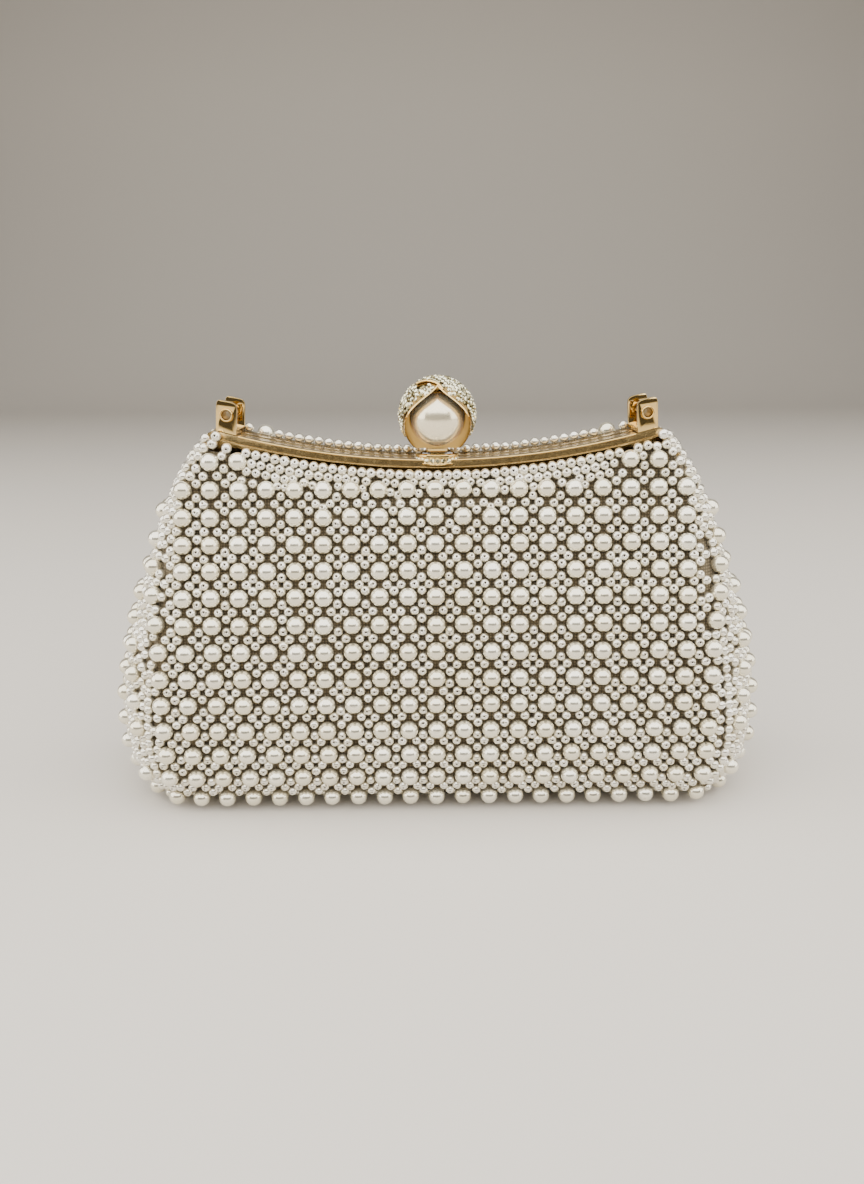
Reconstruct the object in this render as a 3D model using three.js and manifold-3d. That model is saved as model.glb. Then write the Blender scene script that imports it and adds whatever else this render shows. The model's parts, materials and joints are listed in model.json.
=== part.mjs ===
// Beaded evening bag on a two-half metal frame with a kiss-lock clasp.
// Millimetres, +Z up, -Y is the front, origin on the floor under the middle of the base.
import * as THREE from 'three';
import { mergeVertices } from 'three/addons/utils/BufferGeometryUtils.js';
import Module from 'manifold-3d';

const wasm = await Module();
wasm.setup();

// ---- Driving dimensions ----------------------------------------------------------------------

const GAP = 0.3; // clearance between neighbouring pieces

// Height, half width and half depth of the pouch, measured over its pearls.
const POUCH_PROFILE = [
  [0, 96, 17], [2.5, 101, 23.5], [8, 105, 28], [18, 108, 30.4], [31, 107.8, 31],
  [46, 105.3, 30], [60, 101.8, 28], [72, 97.8, 25.8], [86, 91.6, 21.5], [95, 87.6, 18],
  [104, 81.8, 14], [109, 78.5, 9.6], [119, 71, 9.2],
];
const SIDE_POWER = 10; // how square the plan is across the width
const FRONT_POWER = 2.3; // how round the plan is from front to back
const RING_POINTS = 32;
const BASE_CURVE_HEIGHT = 30; // the wall turns under towards the base below this height

const COVER_THICKNESS = 6; // pearls and backing cloth
const INTERLINING = { outer: COVER_THICKNESS + GAP, inner: COVER_THICKNESS + GAP + 0.7 };
const LINING = { outer: INTERLINING.inner + GAP, inner: INTERLINING.inner + GAP + 0.8 };
const LOWER_COVER_TOP = 69; // the cloth folds between here and the upper covers
const GUSSET_TONGUE = { halfDepth: 11, top: 75 };
const LOWER_LINING_TOP = 70;
const UPPER_COVER_FOOT = 85;
const UPPER_INTERLINING_FOOT = 88;
const UPPER_LINING_FOOT = 91;
const GUSSET_SEAM_X = 90;
const BASE_SEAM_Y = 15;
const BOARD_THICKNESS = 2;
const POCKET = { halfWidth: 40, y: 18.2, thickness: 0.8, foot: 20, top: 58 };

// Frame halves: a channel that dips along an arc and turns down into two side legs.
const LIP_RADIUS = 250;
const LIP_HEIGHT = 109.2;
const ARC_CENTRE_Z = LIP_HEIGHT + LIP_RADIUS;
const FRAME_HEIGHT = 2.5;
const FRAME_FACE_Y = 6.6; // outer face of each half
const FRAME_MEETING_Y = 0.3; // inner face of each half
const SHEET = 0.7; // metal thickness
const ROLLED_LIP = { height: 0.45, proud: 0.35 };
const INNER_WALL_DROP = 2.5;
const CORNER = { arcEndX: 66.4, x: 69.3, z: 120.5, legTopX: 70.3, legTopZ: 117 };
const LEG = { bowX: 79.5, bowZ: 102, endX: 87, endZ: 84.5 };

const HINGE = { z: 79, eyeRadius: 3.6, boreRadius: 1.25, rivetRadius: 1.1, headRadius: 2.2 };
const EYE_THICKNESS = 1.2;
const FRONT_EYE_X = 86.15;
const BACK_EYE_X = FRONT_EYE_X + EYE_THICKNESS + 0.4;

const CORD = { size: 1.2, y: 4.6 };

const LUG = { x: 64, halfWidth: 3.1, halfSpan: 7, sheet: 1.3, height: 9.4, lean: 5, round: 1.7 };
const LUG_PIN = { height: 5.3, radius: 1.5, bore: 0.7, headRadius: 2.1, headThickness: 0.6 };

const BALL = { y: -2.5, z: 125.2, radius: 12.3, inner: 11, foot: 115.2 };
const CUP = { outer: 10.7, inner: 9.8 };
const PEARL = { radius: 8, drop: 1.2, forward: 0.8 };
const PETAL_SPLIT_DEG = 35; // the right petal laps over the top of the ball
const RIM_SCALE = 1.06;
const PETAL_SCALE = 1.08;
const COLLAR = { radius: 6.4, inner: 5, depthScale: 0.85, foot: 110.3, top: 114 };
const PIVOT = { z: 113.1, pinRadius: 0.7, boreRadius: 0.85, hubRadius: 1.25, hubHalfWidth: 2.2 };
const FRAME_TOP_Z = LIP_HEIGHT + FRAME_HEIGHT;
const TONGUE = { halfWidth: 2.8, under: 112.9, thickness: 0.8, reach: 5.8, hookLength: 1, hookFoot: 112.75 };
const STRIKE = { halfWidth: 2.8, front: 1.2, back: 6.2, top: 112.2, ridgeY: 3.7, ridgeTop: 112.6 };

// ---- Solids ------------------------------------------------------------------------------------

function toSolid(geometry) {
  const plain = geometry.clone();
  plain.deleteAttribute('normal');
  plain.deleteAttribute('uv');
  const merged = mergeVertices(plain, 1e-4);
  const corners = [];
  const index = merged.index.array;
  for (let i = 0; i < index.length; i += 3) {
    const [a, b, c] = [index[i], index[i + 1], index[i + 2]];
    if (a !== b && b !== c && c !== a) corners.push(a, b, c);
  }
  return new wasm.Manifold(new wasm.Mesh({
    numProp: 3,
    vertProperties: new Float32Array(merged.attributes.position.array),
    triVerts: new Uint32Array(corners),
  }));
}

function toGeometry(solid) {
  const mesh = solid.getMesh();
  const geometry = new THREE.BufferGeometry();
  geometry.setAttribute('position', new THREE.BufferAttribute(mesh.vertProperties, 3));
  geometry.setIndex(new THREE.BufferAttribute(mesh.triVerts, 1));
  geometry.computeVertexNormals();
  return geometry;
}

function box(low, high) {
  const size = high.map((value, axis) => value - low[axis]);
  const middle = high.map((value, axis) => (value + low[axis]) / 2);
  return toSolid(new THREE.BoxGeometry(...size).translate(...middle));
}

// A shape drawn in X and Z, given its depth along Y.
function alongY(shape, yLow, yHigh, curveSegments = 6) {
  const geometry = new THREE.ExtrudeGeometry(shape, { depth: yHigh - yLow, bevelEnabled: false, curveSegments });
  return toSolid(geometry.rotateX(Math.PI / 2).translate(0, yHigh, 0));
}

function polygon(points) {
  return new THREE.Shape(points.map(([u, v]) => new THREE.Vector2(u, v)));
}

// A profile of [radius, distance] pairs turned about a line through (y, z) along X.
function turnedAboutX(profile, y, z, segments = 20) {
  const outline = profile.map(([radius, distance]) => new THREE.Vector2(radius, distance));
  const geometry = new THREE.LatheGeometry([...outline, outline[0]], segments);
  return toSolid(geometry.rotateZ(-Math.PI / 2).translate(0, y, z));
}

// The same, about a line through (x, z) along Y.
function turnedAboutY(profile, x, z, segments = 16) {
  const outline = profile.map(([radius, distance]) => new THREE.Vector2(radius, distance));
  return toSolid(new THREE.LatheGeometry([...outline, outline[0]], segments).translate(x, 0, z));
}

function rod(radius, low, high) {
  return [[0, low], [radius, low], [radius, high], [0, high]];
}

// ---- Pouch -------------------------------------------------------------------------------------

function profileAt(z) {
  const next = POUCH_PROFILE.findIndex(([height]) => height >= z);
  const [z1, width1, depth1] = POUCH_PROFILE[Math.max(next, 1)];
  const [z0, width0, depth0] = POUCH_PROFILE[Math.max(next, 1) - 1];
  const share = (z - z0) / (z1 - z0);
  return [width0 + share * (width1 - width0), depth0 + share * (depth1 - depth0)];
}

function pouchRing(z, inset) {
  const lowered = z - inset * Math.max(0, 1 - z / BASE_CURVE_HEIGHT);
  const [halfWidth, halfDepth] = profileAt(lowered).map((size) => size - inset);
  return Array.from({ length: RING_POINTS }, (_, i) => {
    const turn = (i / RING_POINTS) * 2 * Math.PI;
    const across = Math.sign(Math.cos(turn)) * Math.abs(Math.cos(turn)) ** (2 / SIDE_POWER);
    const along = Math.sign(Math.sin(turn)) * Math.abs(Math.sin(turn)) ** (2 / FRONT_POWER);
    return [halfWidth * across, halfDepth * along, z];
  });
}

// The filled pouch between two heights, set in from the pearls by a distance.
function pouchBody(inset, foot, top) {
  const inside = POUCH_PROFILE.map(([z]) => z).filter((z) => z > foot + 1 && z < top - 1);
  const rings = [foot, ...inside, top].map((z) => pouchRing(z, inset));
  const position = [...rings.flat(2), 0, 0, foot, 0, 0, top];
  const index = [];
  const footCentre = rings.length * RING_POINTS;
  for (let i = 0; i < RING_POINTS; i++) {
    const next = (i + 1) % RING_POINTS;
    for (let level = 0; level < rings.length - 1; level++) {
      const low = level * RING_POINTS;
      const high = low + RING_POINTS;
      index.push(low + i, low + next, high + next, low + i, high + next, high + i);
    }
    const last = (rings.length - 1) * RING_POINTS;
    index.push(footCentre, next, i, footCentre + 1, last + i, last + next);
  }
  const geometry = new THREE.BufferGeometry();
  geometry.setAttribute('position', new THREE.Float32BufferAttribute(position, 3));
  geometry.setIndex(index);
  return toSolid(geometry);
}

function pouchWall(outerInset, innerInset, foot, top, floor = 0) {
  const hollow = pouchBody(innerInset, floor > 0 ? foot + floor : foot, top);
  const reach = floor > 0 ? 0 : 1;
  const through = box([-200, -200, foot - reach], [200, 200, foot]);
  return pouchBody(outerInset, foot, top).subtract(hollow).subtract(through);
}

const lowerCover = pouchWall(0, COVER_THICKNESS, 0, GUSSET_TONGUE.top, COVER_THICKNESS);
const FAR = 200;
const HALF_SEAM = GAP / 2;

function coverPanel(side) {
  const y = side * (BASE_SEAM_Y + HALF_SEAM);
  const x = GUSSET_SEAM_X - HALF_SEAM;
  return lowerCover.intersect(box([-x, Math.min(y, side * FAR), -1], [x, Math.max(y, side * FAR), LOWER_COVER_TOP]));
}

function gusset(side) {
  const x = side * (GUSSET_SEAM_X + HALF_SEAM);
  const [low, high] = [Math.min(x, side * FAR), Math.max(x, side * FAR)];
  const tongue = box([low, -GUSSET_TONGUE.halfDepth, 0], [high, GUSSET_TONGUE.halfDepth, FAR]);
  const below = box([low, -FAR, -1], [high, FAR, LOWER_COVER_TOP]);
  return lowerCover.intersect(tongue.add(below));
}

function baseCover() {
  const x = GUSSET_SEAM_X - HALF_SEAM;
  const y = BASE_SEAM_Y - HALF_SEAM;
  return lowerCover.intersect(box([-x, -y, -1], [x, y, COVER_THICKNESS + 1]));
}

function baseBoard() {
  const foot = COVER_THICKNESS + GAP;
  return pouchBody(LINING.outer, foot, foot + BOARD_THICKNESS);
}

function pouchInterlining() {
  return pouchWall(INTERLINING.outer, INTERLINING.inner, COVER_THICKNESS + GAP, LOWER_COVER_TOP);
}

function pouchLining() {
  const foot = COVER_THICKNESS + BOARD_THICKNESS + 2 * GAP;
  return pouchWall(LINING.outer, LINING.inner, foot, LOWER_LINING_TOP, LINING.inner - LINING.outer);
}

function slipPocket() {
  const { halfWidth, y, thickness, foot, top } = POCKET;
  return box([-halfWidth, y, foot], [halfWidth, y + thickness, top]);
}

// ---- Frame -------------------------------------------------------------------------------------

// The middle line of the channel, from the middle of the mouth to the end of the right leg.
function rightFrameLine() {
  const radius = LIP_RADIUS - FRAME_HEIGHT / 2;
  const path = new THREE.Path();
  const sweep = Math.asin(CORNER.arcEndX / radius);
  path.absarc(0, ARC_CENTRE_Z, radius, -Math.PI / 2, -Math.PI / 2 + sweep, false);
  path.quadraticCurveTo(CORNER.x, CORNER.z, CORNER.legTopX, CORNER.legTopZ);
  path.quadraticCurveTo(LEG.bowX, LEG.bowZ, LEG.endX, LEG.endZ);
  return path.getPoints(4);
}

const frameLine = (() => {
  const right = rightFrameLine();
  const left = right.slice(1).reverse().map(({ x, y }) => new THREE.Vector2(-x, y));
  return [...left, ...right];
})();

// The frame line moved outwards (positive) or inwards (negative), with mitred corners.
function frameOffset(distance) {
  return frameLine.map((point, i) => {
    const before = frameLine[Math.max(i - 1, 0)];
    const after = frameLine[Math.min(i + 1, frameLine.length - 1)];
    const towards = (i > 0 ? point.clone().sub(before) : after.clone().sub(point)).normalize();
    const away = (i < frameLine.length - 1 ? after.clone().sub(point) : towards.clone()).normalize();
    const normal = new THREE.Vector2(-towards.y - away.y, towards.x + away.x).normalize();
    const mitre = 1 / Math.sqrt((1 + towards.dot(away)) / 2);
    return point.clone().addScaledVector(normal, distance * mitre);
  });
}

function frameBand(inner, outer) {
  return new THREE.Shape([...frameOffset(outer), ...frameOffset(inner).reverse()]);
}

// Everything on the outer side of the frame line moved by a distance.
function outsideFrame(distance) {
  const corners = [[FAR, UPPER_COVER_FOOT - 5], [FAR, FAR], [-FAR, FAR], [-FAR, UPPER_COVER_FOOT - 5]];
  const line = frameOffset(distance);
  const foot = UPPER_COVER_FOOT - 5;
  const right = line[line.length - 1];
  const closed = [new THREE.Vector2(-right.x, foot), ...line, new THREE.Vector2(right.x, foot)];
  return new THREE.Shape([...closed, ...corners.map(([x, z]) => new THREE.Vector2(x, z))]);
}

// A front-half solid kept as it is for side -1, or turned to the back for side 1.
function onSide(solid, side) {
  return side < 0 ? solid : solid.mirror([0, 1, 0]);
}

function hingeEye(sideX, eyeX) {
  const { z, eyeRadius, boreRadius } = HINGE;
  const outer = eyeX + EYE_THICKNESS;
  const strap = polygon([
    [LEG.endX - 1.4, LEG.endZ + 2], [outer - 0.4, LEG.endZ + 2], [outer, LEG.endZ - 1],
    [outer, z], [eyeX, z], [eyeX, LEG.endZ - 1],
  ]);
  const arm = alongY(strap, -eyeRadius, -FRAME_MEETING_Y);
  const disc = turnedAboutX(rod(eyeRadius, eyeX, outer), 0, z);
  const bore = turnedAboutX(rod(boreRadius, eyeX - 1, outer + 1), 0, z);
  const eye = arm.add(disc).subtract(bore);
  return sideX > 0 ? eye : eye.mirror([1, 0, 0]);
}

function frameHalf(side) {
  const half = FRAME_HEIGHT / 2;
  const bar = alongY(frameBand(-half, half), -FRAME_FACE_Y, -FRAME_MEETING_Y);
  const groove = alongY(frameBand(-half - 1, half - SHEET), SHEET - FRAME_FACE_Y, -FRAME_MEETING_Y - SHEET);
  const wall = alongY(frameBand(-half - INNER_WALL_DROP, -half + 0.1), -FRAME_MEETING_Y - SHEET, -FRAME_MEETING_Y);
  const lipFace = -FRAME_FACE_Y - ROLLED_LIP.proud;
  const lip = alongY(frameBand(-half, -half + ROLLED_LIP.height), lipFace, 0.1 - FRAME_FACE_Y);
  const eyeX = side < 0 ? FRONT_EYE_X : BACK_EYE_X;
  const channel = bar.subtract(groove).add(wall).add(lip);
  return onSide(channel.add(hingeEye(1, eyeX)).add(hingeEye(-1, eyeX)), side);
}

// A strip inside the channel along the bar of the mouth.
function channelStrip(inner, outer, yLow, yHigh) {
  const reach = Math.asin((CORNER.arcEndX - 2) / LIP_RADIUS);
  const [from, to] = [-Math.PI / 2 - reach, -Math.PI / 2 + reach];
  const shape = new THREE.Shape();
  shape.absarc(0, ARC_CENTRE_Z, LIP_RADIUS - inner, from, to, false);
  shape.absarc(0, ARC_CENTRE_Z, LIP_RADIUS - outer, to, from, true);
  return alongY(shape, yLow, yHigh, 8);
}

function frameCord(side) {
  const top = FRAME_HEIGHT - SHEET - GAP;
  return onSide(channelStrip(top - CORD.size, top, -CORD.y, CORD.size - CORD.y), side);
}

function upperCover(side) {
  const shell = pouchWall(0, COVER_THICKNESS, UPPER_COVER_FOOT, 119);
  const front = box([-FAR, -FAR, 0], [FAR, -1, FAR]);
  const lipGap = FRAME_HEIGHT / 2 + GAP;
  const faceY = -FRAME_FACE_Y - ROLLED_LIP.proud - GAP;
  const behindFace = alongY(outsideFrame(-lipGap), faceY, FAR);
  const aboveLip = turnedAboutY(rod(LIP_RADIUS + GAP, -FAR, FAR), 0, ARC_CENTRE_Z, 200);
  const tuck = channelStrip(-2.4, FRAME_HEIGHT - SHEET - GAP, GAP - FRAME_FACE_Y + SHEET, -CORD.y - GAP);
  return onSide(shell.intersect(front).subtract(behindFace).subtract(aboveLip).add(tuck), side);
}

function upperLayer(layer, foot, side) {
  const shell = pouchWall(layer.outer, layer.inner, foot, 119);
  const front = box([-FAR, -FAR, 0], [FAR, -FRAME_MEETING_Y - SHEET - GAP, FAR]);
  const outside = alongY(outsideFrame(-FRAME_HEIGHT / 2 - INNER_WALL_DROP - GAP), -FAR, FAR);
  return onSide(shell.intersect(front).subtract(outside), side);
}

function hingeRivet(side) {
  const { z, rivetRadius, headRadius } = HINGE;
  const inner = FRONT_EYE_X - GAP;
  const outer = BACK_EYE_X + EYE_THICKNESS + GAP;
  const profile = [
    [0, inner - 0.8], [headRadius, inner - 0.8], [headRadius, inner], [rivetRadius, inner],
    [rivetRadius, outer], [headRadius, outer], [headRadius, outer + 0.8], [0, outer + 0.8],
  ];
  const rivet = turnedAboutX(profile, 0, z);
  return side > 0 ? rivet : rivet.mirror([1, 0, 0]);
}

// ---- Handle lugs -------------------------------------------------------------------------------

const lugSlope = Math.asin(LUG.x / LIP_RADIUS);
const lugFoot = new THREE.Vector2(LUG.x, ARC_CENTRE_Z - Math.sqrt((LIP_RADIUS - FRAME_HEIGHT - GAP) ** 2 - LUG.x ** 2));
const lugUp = new THREE.Vector2(0, 1).rotateAround(new THREE.Vector2(), THREE.MathUtils.degToRad(LUG.lean));

function lugPoint(along, up) {
  const slope = new THREE.Vector2(Math.cos(lugSlope), Math.sin(lugSlope));
  return lugFoot.clone().addScaledVector(slope, along).addScaledVector(lugUp, up);
}

function lugOutline(height, round) {
  const { halfWidth } = LUG;
  const shape = new THREE.Shape([lugPoint(-halfWidth, 0), lugPoint(halfWidth, 0), lugPoint(halfWidth, height - round)]);
  const [rightTop, leftTop] = [lugPoint(halfWidth, height), lugPoint(-halfWidth, height)];
  const [afterRight, beforeLeft] = [lugPoint(halfWidth - round, height), lugPoint(round - halfWidth, height)];
  const leftSide = lugPoint(-halfWidth, height - round);
  shape.quadraticCurveTo(rightTop.x, rightTop.y, afterRight.x, afterRight.y);
  shape.lineTo(beforeLeft.x, beforeLeft.y);
  shape.quadraticCurveTo(leftTop.x, leftTop.y, leftSide.x, leftSide.y);
  return shape;
}

function lug(side) {
  const { halfSpan, sheet, height, round, halfWidth } = LUG;
  const foot = [lugPoint(-halfWidth, 0), lugPoint(halfWidth, 0), lugPoint(halfWidth, sheet), lugPoint(-halfWidth, sheet)];
  const base = alongY(new THREE.Shape(foot), -halfSpan, halfSpan);
  const ear = lugOutline(height, round);
  const pin = lugPoint(0, LUG_PIN.height);
  const bore = turnedAboutY(rod(LUG_PIN.radius + 0.1, -FAR, FAR), pin.x, pin.y);
  const frontEar = alongY(ear, -halfSpan, sheet - halfSpan, 3);
  const backEar = alongY(ear, halfSpan - sheet, halfSpan, 3);
  const bracket = base.add(frontEar).add(backEar).subtract(bore);
  return side > 0 ? bracket : bracket.mirror([1, 0, 0]);
}

function lugPin(side) {
  const { radius, bore, headRadius, headThickness, height } = LUG_PIN;
  const face = LUG.halfSpan + 0.1;
  const end = face + headThickness;
  const profile = [
    [bore, -end], [headRadius, -end], [headRadius, -face], [radius, -face],
    [radius, face], [headRadius, face], [headRadius, end], [bore, end],
  ];
  const centre = lugPoint(0, height);
  const pin = turnedAboutY(profile, centre.x, centre.y);
  return side > 0 ? pin : pin.mirror([1, 0, 0]);
}

// ---- Clasp -------------------------------------------------------------------------------------

function ballOf(radius) {
  return toSolid(new THREE.SphereGeometry(radius, 20, 12).translate(0, BALL.y, BALL.z));
}

// The pointed-arch window in the front of the ball, drawn about the ball's centre.
function windowShape(scale) {
  const shape = new THREE.Shape();
  const at = (x, z) => [x * scale, BALL.z + z * scale];
  shape.moveTo(...at(0, 9.3));
  shape.bezierCurveTo(...at(2, 6.6), ...at(9.6, 3.6), ...at(9.7, -2.2));
  shape.bezierCurveTo(...at(9.75, -4.6), ...at(8.9, -7.4), ...at(5.5, -10.6));
  shape.lineTo(...at(-5.5, -10.6));
  shape.bezierCurveTo(...at(-8.9, -7.4), ...at(-9.75, -4.6), ...at(-9.7, -2.2));
  shape.bezierCurveTo(...at(-9.6, 3.6), ...at(-2, 6.6), ...at(0, 9.3));
  return shape;
}

function windowCut(scale) {
  return alongY(windowShape(scale), BALL.y - BALL.radius - 5, BALL.y - 1, 5);
}

const belowBall = box([-FAR, -FAR, 0], [FAR, FAR, BALL.foot]);

function petal(side) {
  const angle = THREE.MathUtils.degToRad(PETAL_SPLIT_DEG);
  const half = new THREE.BoxGeometry(40, 80, 80).translate(20 + HALF_SEAM, 0, 0);
  half.rotateY(-angle).translate(0, BALL.y, BALL.z);
  const otherHalf = new THREE.BoxGeometry(40, 80, 80).translate(-20 - HALF_SEAM, 0, 0);
  otherHalf.rotateY(-angle).translate(0, BALL.y, BALL.z);
  const shell = ballOf(BALL.radius).subtract(ballOf(BALL.inner)).subtract(windowCut(PETAL_SCALE)).subtract(belowBall);
  return shell.intersect(toSolid(side > 0 ? half : otherHalf));
}

function claspRim() {
  const frame = windowCut(RIM_SCALE).subtract(windowCut(1));
  const shell = ballOf(BALL.radius + 0.3).subtract(ballOf(BALL.inner));
  return frame.intersect(shell).subtract(belowBall);
}

function claspCup() {
  const rear = box([-FAR, BALL.y - 2, 0], [FAR, FAR, FAR]);
  return ballOf(CUP.outer).subtract(ballOf(CUP.inner)).intersect(rear).subtract(belowBall);
}

function claspPearl() {
  const geometry = new THREE.SphereGeometry(PEARL.radius, 18, 12);
  return toSolid(geometry.translate(0, BALL.y - PEARL.forward, BALL.z - PEARL.drop));
}

function pearlPost() {
  const front = BALL.y - PEARL.forward + PEARL.radius + GAP;
  const back = BALL.y + CUP.inner - 2 * GAP;
  return turnedAboutY(rod(1.2, front, back), 0, BALL.z - PEARL.drop);
}

function claspCollar() {
  const { radius, inner, depthScale, foot, top } = COLLAR;
  const profile = [[inner, foot], [radius, foot], [radius, top - 0.6], [radius - 0.4, top], [inner, top]];
  const outline = profile.map(([r, z]) => new THREE.Vector2(r, z));
  const ring = new THREE.LatheGeometry([...outline, outline[0]], 28).rotateX(Math.PI / 2).scale(1, depthScale, 1);
  const face = FRAME_FACE_Y + ROLLED_LIP.proud + GAP;
  const overFrame = box([-FAR, -face, 0], [FAR, FAR, FRAME_TOP_Z + GAP]);
  const notch = box([-TONGUE.halfWidth - 0.5, 0, 0], [TONGUE.halfWidth + 0.5, FAR, FAR]);
  return toSolid(ring.translate(0, BALL.y, 0)).subtract(overFrame).subtract(notch);
}

function claspPivotPin() {
  const length = COLLAR.inner - GAP;
  return turnedAboutX(rod(PIVOT.pinRadius, -length, length), BALL.y, PIVOT.z, 12);
}

function claspLever() {
  const { hubRadius, hubHalfWidth, boreRadius, z } = PIVOT;
  const { halfWidth, under, thickness, reach, hookLength, hookFoot } = TONGUE;
  const hub = turnedAboutX(rod(hubRadius, -hubHalfWidth, hubHalfWidth), BALL.y, z, 12);
  const pad = box([-3, BALL.y - 2.2, z + 1], [3, BALL.y + 2.2, BALL.foot - GAP]);
  const tongue = box([-halfWidth, BALL.y, under], [halfWidth, reach, under + thickness]);
  const hook = box([-halfWidth, reach - hookLength, hookFoot], [halfWidth, reach, under + thickness]);
  const bore = turnedAboutX(rod(boreRadius, -FAR, FAR), BALL.y, z, 12);
  return hub.add(pad).add(tongue).add(hook).subtract(bore);
}

function claspSpring() {
  const profile = [[0.85, 3.1], [1.2, 3.1], [1.2, 4.1], [0.85, 4.1]];
  return turnedAboutX(profile, BALL.y, PIVOT.z, 12);
}

function strikePlate() {
  const { halfWidth, front, back, top, ridgeY, ridgeTop } = STRIKE;
  const plate = box([-halfWidth, front, FRAME_TOP_Z + GAP / 2], [halfWidth, back, top]);
  const ridge = box([-halfWidth, ridgeY - 0.5, top - 0.1], [halfWidth, ridgeY + 0.5, ridgeTop]);
  return plate.add(ridge);
}

// ---- Assembly ----------------------------------------------------------------------------------

const bag = new THREE.Group();

function add(name, solid, colour, roughness, metalness) {
  const material = new THREE.MeshStandardMaterial({ color: colour, roughness, metalness });
  const mesh = new THREE.Mesh(toGeometry(solid), material);
  mesh.name = name;
  bag.add(mesh);
}

const IVORY = [0xe9e4d6, 0.35, 0];
const FELT = [0xd8d2c4, 0.95, 0];
const SATIN = [0xcbb68e, 0.5, 0];
const CARD = [0xb9a68a, 0.9, 0];
const SATIN_GOLD = [0xb89a5e, 0.35, 1];
const BRIGHT_GOLD = [0xd8b86a, 0.12, 1];
const STEEL = [0x9a9a98, 0.3, 1];

add('front_cover_lower', coverPanel(-1), ...IVORY);
add('back_cover_lower', coverPanel(1), ...IVORY);
add('left_gusset', gusset(-1), ...IVORY);
add('right_gusset', gusset(1), ...IVORY);
add('base_cover', baseCover(), ...IVORY);
add('base_board', baseBoard(), ...CARD);
add('pouch_interlining', pouchInterlining(), ...FELT);
add('pouch_lining', pouchLining(), ...SATIN);
add('slip_pocket', slipPocket(), ...SATIN);
add('left_hinge_rivet', hingeRivet(-1), ...SATIN_GOLD);
add('right_hinge_rivet', hingeRivet(1), ...SATIN_GOLD);

for (const [half, side] of [['front', -1], ['back', 1]]) {
  add(`${half}_frame`, frameHalf(side), ...SATIN_GOLD);
  add(`${half}_frame_cord`, frameCord(side), ...CARD);
  add(`${half}_cover_upper`, upperCover(side), ...IVORY);
  add(`${half}_interlining`, upperLayer(INTERLINING, UPPER_INTERLINING_FOOT, side), ...FELT);
  add(`${half}_lining`, upperLayer(LINING, UPPER_LINING_FOOT, side), ...SATIN);
}

for (const [hand, side] of [['left', -1], ['right', 1]]) {
  add(`${hand}_lug`, lug(side), ...BRIGHT_GOLD);
  add(`${hand}_lug_pin`, lugPin(side), ...BRIGHT_GOLD);
  add(`clasp_${hand}_petal`, petal(side), ...BRIGHT_GOLD);
}

add('clasp_rim', claspRim(), ...BRIGHT_GOLD);
add('clasp_cup', claspCup(), ...BRIGHT_GOLD);
add('clasp_pearl', claspPearl(), ...IVORY);
add('pearl_post', pearlPost(), ...STEEL);
add('clasp_collar', claspCollar(), ...BRIGHT_GOLD);
add('clasp_pivot_pin', claspPivotPin(), ...STEEL);
add('clasp_lever', claspLever(), ...BRIGHT_GOLD);
add('clasp_spring', claspSpring(), ...STEEL);
add('strike_plate', strikePlate(), ...SATIN_GOLD);

export default bag;
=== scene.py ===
"""Looks of a pearl-beaded frame clutch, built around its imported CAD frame. Metres, +Z up, -Y is the front."""

import json
import math
import random
from functools import lru_cache

import bmesh
import bpy
import numpy as np
from mathutils import Matrix, Vector


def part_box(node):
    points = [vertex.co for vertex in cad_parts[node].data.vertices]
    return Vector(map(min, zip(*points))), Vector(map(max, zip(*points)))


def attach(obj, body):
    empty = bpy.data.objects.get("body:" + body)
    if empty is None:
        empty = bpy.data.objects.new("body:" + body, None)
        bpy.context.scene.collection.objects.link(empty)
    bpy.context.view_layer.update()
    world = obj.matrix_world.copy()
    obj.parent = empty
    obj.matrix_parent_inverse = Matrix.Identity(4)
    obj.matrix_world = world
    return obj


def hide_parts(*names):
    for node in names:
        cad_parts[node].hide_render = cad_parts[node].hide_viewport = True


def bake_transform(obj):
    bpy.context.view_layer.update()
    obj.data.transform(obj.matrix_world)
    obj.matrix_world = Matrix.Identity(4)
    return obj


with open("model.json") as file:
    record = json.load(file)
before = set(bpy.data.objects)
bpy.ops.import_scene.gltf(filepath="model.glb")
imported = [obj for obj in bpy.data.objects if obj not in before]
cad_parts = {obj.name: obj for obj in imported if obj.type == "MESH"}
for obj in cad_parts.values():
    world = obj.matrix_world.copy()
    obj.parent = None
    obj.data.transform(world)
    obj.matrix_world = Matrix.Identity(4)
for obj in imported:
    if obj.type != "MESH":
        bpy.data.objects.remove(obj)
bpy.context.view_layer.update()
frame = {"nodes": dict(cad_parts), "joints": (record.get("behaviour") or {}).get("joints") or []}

MM = 0.001
rng = random.Random(7)

# ---- Driving sizes of the beadwork, in millimetres -------------------------------------------------

PEARL_RADIUS = 2.82
SEED_RADIUS = 1.62
PITCH = 8.5  # pearl to pearl, across and down
SEED_INSET = 0.85  # the small beads sit this much deeper than the pearls' centres
CLOTH_INSET = 2.3
CLOTH_THICKNESS = 0.6
LINING_THICKNESS = 0.5
COLUMN_SHIFT = -0.95  # the middle column of pearls sits a little left of the clasp
LAST_COLUMN = 10
MEETING_DEPTH = 0.3  # the two panels come this close to the mid-plane beside the frame legs

LIP_RADIUS = 250.0
LIP_HEIGHT = 109.2
LIP_CENTRE = LIP_HEIGHT + LIP_RADIUS
HINGE_Z = 1000 * frame["joints"][0]["pos_m"][2]

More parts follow.
